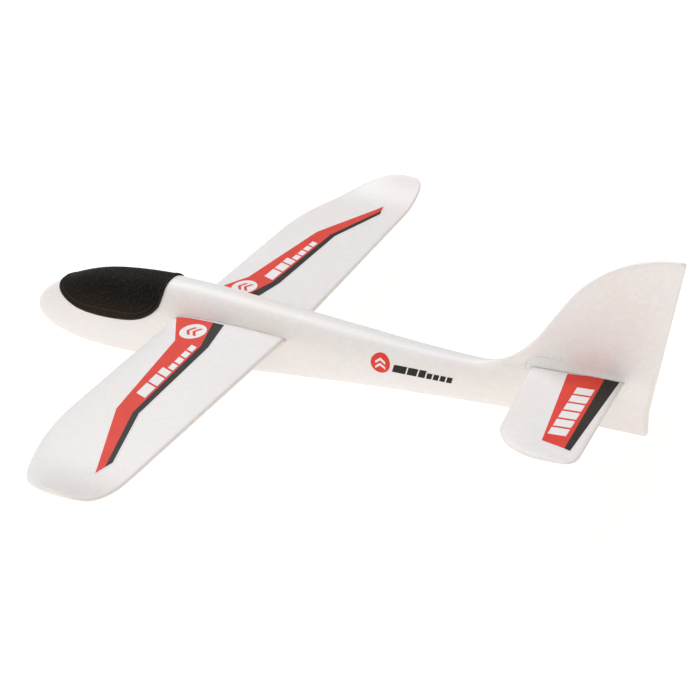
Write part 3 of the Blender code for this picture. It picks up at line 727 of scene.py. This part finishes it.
def make_tail_fillet(side, word, body_surface, tail, foam):
    """Hollow corner between the fin's side and the tailplane, which stays with the fin."""
    def fin_side(place):
        start = Vector((CAST_FROM * side, place.x, place.y))
        return abs(body_surface.ray_cast(start, Vector((-side, 0.0, 0.0)))[0].x)

    bm = bmesh.new()
    rings = []
    for place, out in section_loop(tail, FILLET_SECTION_X * MM * side):
        height = (FILLET_HEIGHT[0] + FILLET_HEIGHT[1] * abs(out.y)) * MM
        foot = fin_side(place + out * FILLET_FOOT * MM)
        head = fin_side(place + out * height)
        profile = [(head - FILLET_SINK * MM, height)]
        for step in range(FILLET_STEPS + 1):
            angle = math.pi / 2 * step / FILLET_STEPS
            up = FILLET_CLEAR * MM + (height - FILLET_CLEAR * MM) * (1.0 - math.sin(angle))
            fin = foot + (head - foot) * up / height
            reach = FILLET_WIDTH * (1.0 - math.cos(angle)) - FILLET_DIP
            profile.append((fin + reach * MM, up))
        profile.append((foot - FILLET_SINK * MM, FILLET_CLEAR * MM))
        rings.append([bm.verts.new((x * side, *(place + out * up))) for x, up in profile])
    for ring, following in zip(rings, rings[1:] + rings[:1]):
        for k, corner in enumerate(ring):
            after = (k + 1) % len(ring)
            bm.faces.new((corner, ring[after], following[after], following[k])).smooth = True
    bmesh.ops.recalc_face_normals(bm, faces=bm.faces)
    settle(linked_object("tail_fillet_" + word, bm, [foam]), "fuselage", "white_foam")


# Room

def make_floor():
    """Plain pale floor just under the object, with a soft glow of its own, painted weaker near the object
    as a painted shadow.
    """
    shade, tree, shader = make_material("pale_floor", FLOOR_COLOUR, 0.9)
    shader.inputs["Emission Color"].default_value = (*FLOOR_GLOW, 1.0)
    where = place_in_object(tree)
    away = add_node(tree, "ShaderNodeVectorMath", {0: where}, operation="LENGTH").outputs["Value"]
    # Painted shadow: close to the object the floor's glow drops to FLOOR_PAINTED_SHADOW of its full
    # strength
    tree.links.new(ranged(tree, away, *FLOOR_PAINTED_SHADOW_REACH, FLOOR_GLOW_STRENGTH * FLOOR_PAINTED_SHADOW,
                          FLOOR_GLOW_STRENGTH), shader.inputs["Emission Strength"])
    darker = tuple(part * 0.99 for part in FLOOR_COLOUR)
    tree.links.new(blended(tree, noise(tree, where, 0.4, 1.0), FLOOR_COLOUR, darker),
                   shader.inputs["Base Color"])
    bm = bmesh.new()
    bmesh.ops.create_grid(bm, x_segments=4, y_segments=4, size=FLOOR_SIDE / 2)
    floor = linked_object("floor", bm, [shade])
    floor.location.z = cad_box[0].z - FLOOR_DROP * MM


def area_light(name, place, target, size, power, colour):
    """Round soft lamp at a place, turned to a target."""
    data = bpy.data.lights.new(name, "AREA")
    data.shape = "DISK"
    data.size = size
    data.energy = power
    data.color = colour
    made = bpy.data.objects.new(name, data)
    made.location = place
    made.rotation_mode = "QUATERNION"
    made.rotation_quaternion = (Vector(target) - Vector(place)).to_track_quat("-Z", "Y")
    bpy.context.scene.collection.objects.link(made)


def make_light():
    """Soft room light, paler overhead than at eye level, and the lamps."""
    world = bpy.data.worlds.new("soft_room")
    world.use_nodes = True
    tree = world.node_tree
    where = add_node(tree, "ShaderNodeTexCoord").outputs["Generated"]
    upward = add_node(tree, "ShaderNodeSeparateXYZ", {"Vector": where}).outputs["Z"]
    dome = blended(tree, ranged(tree, upward, 0.0, ZENITH_FROM, 0.0, 1.0), HORIZON, ZENITH)
    tree.links.new(dome, tree.nodes["Background"].inputs["Color"])
    bpy.context.scene.world = world
    for lamp in LAMPS:
        area_light(*lamp)


def make_camera():
    """Camera over the port side, a little behind the wings."""
    azimuth, elevation, roll = (math.radians(v) for v in
                                (CAMERA_AZIMUTH, CAMERA_ELEVATION, CAMERA_ROLL))
    back = Vector((math.sin(azimuth) * math.cos(elevation), -math.cos(azimuth) * math.cos(elevation),
                   math.sin(elevation)))
    level = Vector((math.cos(azimuth), math.sin(azimuth), 0.0))
    upright = back.cross(level)
    right = level * math.cos(roll) + upright * math.sin(roll)
    up = upright * math.cos(roll) - level * math.sin(roll)
    centre = (cad_box[0] + cad_box[1]) / 2
    data = bpy.data.cameras.new("camera")
    data.lens = CAMERA_LENS
    data.sensor_width = CAMERA_SENSOR
    camera = bpy.data.objects.new("camera", data)
    turn = Matrix((right, up, back)).transposed().to_4x4()
    camera.matrix_world = Matrix.Translation(centre + AIM_FROM_CENTRE + back * CAMERA_DISTANCE) @ turn
    bpy.context.scene.collection.objects.link(camera)
    bpy.context.scene.camera = camera


# Assembly

def make_inner_pieces():
    """Ballast, joiner rod and its sleeves: hidden until the glider is taken apart."""
    steel = hard_material("cut_steel", (0.55, 0.55, 0.56), (0.40, 0.39, 0.38), 0.38, 0.0006,
                          Metallic=1.0)
    rod = hard_material("glass_rod", (0.74, 0.73, 0.62), (0.66, 0.63, 0.50), 0.32, 0.0004,
                        Coat_Weight=0.3)
    plastic = hard_material("sleeve_plastic", (0.045, 0.045, 0.048), (0.06, 0.06, 0.065), 0.45,
                            0.0008)
    skin("ballast_slug", "nose_weight", "fuselage", "steel", steel, 0.0)
    skin("joiner_rod", "wing_joiner", "wing_right", "glass_fibre", rod, 0.0)
    for _, word in SIDES:
        skin("sleeve_tube_" + word, "joiner_sleeve_" + word, "wing_" + word, "sleeve_plastic", plastic,
             0.0)


def make_outer_pieces():
    """The foam pieces, the cover's trim, the stickers and the fillets."""
    foam = white_foam()
    cover = black_foam("moulded_black_foam", COVER_SHINE)
    cover_edge = black_foam("pressed_black_foam", COVER_EDGE_SHINE)
    inks = [printed_film(*ink) for ink in INKS]
    body = skin("fuselage_foam", "fuselage", "fuselage", "white_foam", foam)
    canopy = skin("canopy_cover", "canopy", "canopy", "black_foam", cover)
    make_canopy_trim(canopy, cover_edge)
    tail = skin("tailplane_foam", "tailplane", "tailplane", "white_foam", foam)
    tail_surface = surface_of(tail)
    body_surface = surface_of(body)
    for side, word in SIDES:
        wing = skin("wing_foam_" + word, "wing_" + word, "wing_" + word, "white_foam", foam)
        make_sticker("wing_band_" + word, "wing_sticker_" + word, "wing_" + word,
                     over_surface(surface_of(wing), "z", side), wing_band_layers(side), inks)
        make_sticker("tail_band_" + word, "tail_sticker_" + word, "tailplane",
                     over_surface(tail_surface, "z", side), tail_band_layers(), inks)
        make_sticker("side_mark_" + word, "side_sticker_" + word, "fuselage",
                     over_surface(body_surface, "x", side), side_mark_layers(), inks)
        make_tail_fillet(side, word, body_surface, tail, foam)


make_camera()
make_floor()
make_light()
make_inner_pieces()
make_outer_pieces()
bpy.context.scene.view_settings.view_transform = "Standard"
